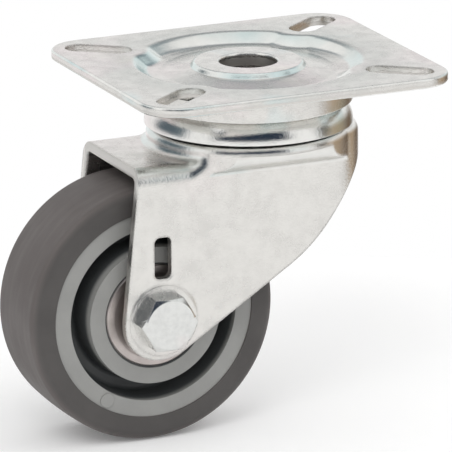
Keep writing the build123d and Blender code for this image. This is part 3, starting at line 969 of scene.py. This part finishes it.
@dataclass
class SubAssembly:
    """A group of the castor's pieces, with short ways to dress nodes and to add pieces."""

    frame: dict

    def dress(self, look: bpy.types.Material, *nodes: str) -> None:
        """Give nodes of the frame their finish.

        Args:
            look: the only material of each.
            nodes: the nodes' names.
        """
        for node in nodes:
            target = self.frame["nodes"][node]
            target.data.materials.clear()
            target.data.materials.append(look)
            LOG.info("dressed %s", node)

    def add(self, name: str, work: bmesh.types.BMesh, body: str, slot: Slot,
            look: bpy.types.Material) -> bpy.types.Object:
        """Turn a finished bmesh into a piece that rides on a body.

        Args:
            name: the piece's name.
            work: its shape in metres, which is used up.
            body: the body that carries it.
            slot: the record's slot for its finish; not used.
            look: its material.

        Returns:
            The new piece.
        """
        mesh = bpy.data.meshes.new(name)
        work.to_mesh(mesh)
        work.free()
        mesh.materials.append(look)
        piece = bpy.data.objects.new(name, mesh)
        bpy.context.scene.collection.objects.link(piece)
        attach(piece, body)
        LOG.info("built %s with %d faces", name, len(mesh.polygons))
        return piece

    def build(self) -> None:
        """Dress and build the group's pieces."""
        raise NotImplementedError


@dataclass
class MountingPlate(SubAssembly):
    """The pressed plate and the pan that closes it below."""

    sheet: float = 4.0 * MM
    edge_margins: Span = (1.0 * MM, 0.2 * MM)
    dull_ring: DullRing = DullRing(30.0 * MM, 38.0 * MM, 50.0 * MM)
    pan: ZincPlated = ZincPlated("pan_zinc", film_scale=30.0)

    def build(self) -> None:
        """Dress the plate and its pan."""
        over, under = self.edge_margins
        edge = ShearedEdge(Axis.Z, 0.0, -self.sheet, below=over, above=-self.sheet - under)
        plate = ZincPlated("plate_zinc", bend_film=0.75, dull_ring=self.dull_ring, edge=edge,
                           rounding=0.8 * MM)
        self.dress(plate.build(), "top_plate")
        self.dress(self.pan.build(), "bearing_pan")


@dataclass
class SwivelBearing(SubAssembly):
    """The two races and the balls of the swivel."""

    race: ZincPlated = ZincPlated(
        "race_zinc", base=(0.80, 0.795, 0.77), roughness=(0.12, 0.18), film_scale=34.0,
        streak_stretch=(90.0, 90.0, 900.0), pit_relief=Relief(0.06 * MM, 0.8))
    steel: TurnedSteel = TurnedSteel(
        "race_steel", base=(0.60, 0.60, 0.59), shade=(0.50, 0.49, 0.48), roughness=(0.22, 0.34),
        centre=ORIGIN)

    def build(self) -> None:
        """Dress the races and the balls."""
        self.dress(self.race.build(), "upper_race")
        self.dress(self.steel.build(), "lower_race", "upper_balls", "lower_balls")


@dataclass
class Fork(SubAssembly):
    """The pressed fork with its crown, web and legs."""

    leg_inner: float = 18.5 * MM
    leg_outer: float = 21.5 * MM
    web_under: float = -29.0 * MM
    web_rear: float = -45.2 * MM
    under_all: float = -1.0

    def build(self) -> None:
        """Dress the fork."""
        edge = ShearedEdge(Axis.Y, self.leg_outer, self.leg_inner, below=self.web_under,
                           above=self.under_all, behind=self.web_rear)
        zinc = ZincPlated("fork_zinc", film_scale=19.0, film_spread=0.5, bend_film=0.4, bend_roughness=0.20,
                          burnished=(0.77, 0.765, 0.74), drawn_above=-21.0 * MM, edge=edge,
                          streak_stretch=(420.0, 420.0, 14.0), pits=Grain(1500.0, 3.0, 0.55),
                          pit_relief=Relief(0.07 * MM, 0.8), rounding=1.5 * MM)
        self.dress(zinc.build(), "fork")


@dataclass
class Axle(SubAssembly):
    """The bolt with its rolled thread, the washer, the locking nut and the sleeve.

    The thread's ridge takes up a share of its pitch and is sunk a little into the core.
    """

    thread_start: float = 29.0 * MM
    cut_place: float = 30.0 * MM
    weld_distance: float = 0.002 * MM
    major_radius: float = 4.95 * MM
    root_radius: float = 4.15 * MM
    pitch: float = 1.5 * MM
    ridge_share: float = 0.96
    ridge_sink: float = 0.12 * MM
    end_chamfer: float = 0.9 * MM
    steps_per_turn: int = 40
    core_segments: int = 64
    zinc: ZincPlated = ZincPlated(
        "bolt_zinc", base=(0.70, 0.705, 0.69), teal=(0.56, 0.66, 0.66), film_scale=60.0, film_spread=0.4,
        roughness=(0.16, 0.26), pits=Grain(900.0, 3.0, 0.55), pit_relief=Relief(0.02 * MM, 0.4),
        rounding=0.3 * MM)
    washer: ZincPlated = ZincPlated(
        "washer_zinc", film_scale=50.0, roughness=(0.24, 0.34), rounding=0.2 * MM)
    nylon: Moulded = Moulded(
        "nut_nylon", base=(0.70, 0.72, 0.74), shade=(0.62, 0.65, 0.68), roughness=(0.35, 0.5))

    def bolt(self, look: bpy.types.Material) -> None:
        """Build the bolt: the plain head and shank, then a core with a ridge wound round it.

        Args:
            look: the bolt's finish.
        """
        centre = axis_point("axle_bolt")
        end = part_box("axle_bolt")[1][1]
        work = bmesh.new()
        work.from_mesh(self.frame["nodes"]["axle_bolt"].data)
        bmesh.ops.remove_doubles(work, verts=work.verts, dist=self.weld_distance)
        whole = list(work.verts) + list(work.edges) + list(work.faces)
        plane = Vector((0, self.cut_place, 0))
        bmesh.ops.bisect_plane(work, geom=whole, plane_co=plane, plane_no=(0, 1, 0), clear_outer=True)
        bmesh.ops.holes_fill(work, edges=[edge for edge in work.edges if edge.is_boundary])
        length = end - self.thread_start
        core = bmesh.ops.create_cone(work, cap_ends=True, segments=self.core_segments,
                                     radius1=self.root_radius, radius2=self.root_radius,
                                     depth=length)["verts"]
        middle = centre + Vector((0, self.thread_start + length / 2, 0))
        bmesh.ops.transform(work, matrix=laid_along_axle(middle, Side.NUT), verts=core)
        tip = [edge for edge in work.edges if all(abs(vert.co.y - end) < SAME_PLACE for vert in edge.verts)]
        bmesh.ops.bevel(work, geom=tip, offset=self.end_chamfer, segments=1, profile=0.5,
                        affect="EDGES", material=-1)
        self.ridge(work, centre, end - self.end_chamfer)
        bmesh.ops.recalc_face_normals(work, faces=work.faces)
        piece = self.add("axle_bolt_threaded", work, "fork", Slot.BOLT_ZINC, look)
        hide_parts("axle_bolt")

    def ridge(self, work: bmesh.types.BMesh, centre: Vector, stop: float) -> None:
        """Wind a pointed ridge round the bolt's core.

        Args:
            work: the bmesh that holds the bolt.
            centre: a point on the bolt's axis, level with Y of zero.
            stop: where the ridge ends along Y.
        """
        half = self.pitch / 2 * self.ridge_share
        inner = self.root_radius - self.ridge_sink
        corners = ((-half, inner), (0.0, self.major_radius), (half, inner))
        first = self.thread_start + half
        face = work.faces.new([work.verts.new(centre + Vector((radius, first + offset, 0)))
                               for offset, radius in corners])
        turns = (stop - half - first) / self.pitch
        steps = round(turns * self.steps_per_turn)
        bmesh.ops.spin(work, geom=[face], cent=centre, axis=(0, 1, 0),
                       dvec=(0, self.pitch / self.steps_per_turn, 0),
                       angle=2 * math.pi * steps / self.steps_per_turn, steps=steps, use_merge=False)

    def build(self) -> None:
        """Build the threaded bolt and dress the axle's other pieces."""
        zinc = self.zinc.build()
        self.bolt(zinc)
        self.dress(zinc, "axle_bolt", "axle_nut")
        self.dress(self.washer.build(), "axle_washer")
        self.dress(self.nylon.build(), "nut_insert")
        sleeve = TurnedSteel("sleeve_zinc", base=(0.62, 0.61, 0.60), shade=(0.52, 0.51, 0.50),
                             roughness=(0.26, 0.38), centre=tuple(axis_point("axle_bolt")))
        self.dress(sleeve.build(), "axle_sleeve", "inner_spacer")


@dataclass
class WheelBearing(SubAssembly):
    """One ball bearing of the wheel and the spacer beside it."""

    side: Side

    def turned(self, name: str, base: Colour, shade: Colour, roughness: Span, *nodes: str) -> None:
        """Dress nodes of this side in steel turned round the axle.

        Args:
            name: the material's name, to which the side is added.
            base: its colour.
            shade: the colour of its darker clouds.
            roughness: its lowest and highest roughness.
            nodes: the nodes' names, to which the side is added.
        """
        end = self.side.label
        steel = TurnedSteel(f"{name}_{end}", base, shade, roughness, tuple(axis_point("axle_bolt")))
        self.dress(steel.build(), *(f"{node}_{end}" for node in nodes))

    def build(self) -> None:
        """Dress the bearing's pieces."""
        self.turned("ring_steel", (0.54, 0.49, 0.47), (0.48, 0.435, 0.415), (0.34, 0.46),
                    "bearing_outer_ring", "bearing_inner_ring")
        self.turned("shield_steel", (0.46, 0.41, 0.39), (0.40, 0.355, 0.335), (0.38, 0.5),
                    "bearing_outer_seal", "bearing_inner_seal")
        self.turned("ball_steel", (0.66, 0.66, 0.66), (0.6, 0.6, 0.6), (0.08, 0.14), "bearing_balls")
        self.turned("spacer_steel", (0.58, 0.53, 0.50), (0.52, 0.47, 0.45), (0.34, 0.46), "side_spacer")
        cage = Moulded(f"cage_nylon_{self.side.label}", base=(0.35, 0.30, 0.20), shade=(0.32, 0.27, 0.18),
                       roughness=(0.35, 0.5))
        self.dress(cage.build(), f"bearing_cage_{self.side.label}")


@dataclass
class Wheel(SubAssembly):
    """The moulded core with its gate marks and the rubber tyre."""

    rim_face: float = 13.9 * MM
    # where the painted shade of the recess starts and is full along Y, and the radii of the painted shadow
    # line at the bore
    cavity_mouth: float = 13.5 * MM
    cavity_floor: float = 11.5 * MM
    bore: Span = (16.4 * MM, 16.6 * MM)
    mark_circle: float = 29.7 * MM
    mark_bearing: float = -121.5
    mark_radius: float = 2.3 * MM
    mark_segments: int = 48
    mark_height: float = 0.32 * MM
    mark_sink: float = 0.2 * MM
    mark_edge: float = 0.10 * MM
    mark_dish: float = 0.34 * MM
    sharp_angle: float = 1.0

    def gate_mark(self, side: Side, look: bpy.types.Material) -> None:
        """Build the low round witness that the moulding gate leaves on a rim.

        Args:
            side: the end of the axle whose rim it is on.
            look: the core's finish.
        """
        turn = math.radians(self.mark_bearing)
        place = axis_point("wheel_core") + Vector((math.cos(turn), 0, math.sin(turn))) * self.mark_circle
        depth = self.mark_height + self.mark_sink
        work = bmesh.new()
        bmesh.ops.create_cone(work, cap_ends=True, segments=self.mark_segments, radius1=self.mark_radius,
                              radius2=self.mark_radius, depth=depth)
        top = max(work.faces, key=lambda face: face.calc_center_median().z)
        bmesh.ops.inset_individual(work, faces=[top], thickness=self.mark_dish)
        bmesh.ops.translate(work, verts=list(top.verts), vec=(0, 0, -self.mark_height / 2))
        crest = [edge for edge in work.edges if edge.calc_face_angle(0.0) > self.sharp_angle
                 and all(abs(vert.co.z - depth / 2) < SAME_PLACE for vert in edge.verts)]
        bmesh.ops.bevel(work, geom=crest, offset=self.mark_edge, segments=2, profile=0.5,
                        affect="EDGES", material=-1)
        middle = Vector((0, side.value * (self.rim_face + self.mark_height - depth / 2), 0))
        bmesh.ops.transform(work, matrix=laid_along_axle(place + middle, side), verts=work.verts)
        bmesh.ops.recalc_face_normals(work, faces=work.faces)
        self.add(f"gate_mark_{side.label}", work, "wheel", Slot.CORE_PLASTIC, look)

    def build(self) -> None:
        """Dress the core and the tyre, and add the gate marks."""
        # near-black painted shade for the core's recess and the shadow line at its bore
        cavity = Cavity((0.075, 0.08, 0.082), tuple(axis_point("wheel_core")), self.cavity_mouth,
                        self.cavity_floor, self.bore)
        core = Moulded("core_plastic", base=(0.315, 0.315, 0.303), shade=(0.285, 0.285, 0.275),
                       roughness=(0.38, 0.5), cavity=cavity).build()
        self.dress(core, "wheel_core")
        self.dress(TreadRubber("tread_rubber").build(), "tyre")
        for side in Side:
            self.gate_mark(side, core)


def main() -> None:
    """Build the castor's looks group by group."""
    logging.basicConfig(level=logging.INFO, format="%(name)s: %(message)s")
    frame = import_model()
    Studio().build()
    groups = [MountingPlate(frame), SwivelBearing(frame), Fork(frame), Axle(frame), Wheel(frame)]
    groups += [WheelBearing(frame, side) for side in Side]
    for group in groups:
        group.build()
        LOG.info("finished %s", type(group).__name__)


if __name__ == "__main__":
    main()
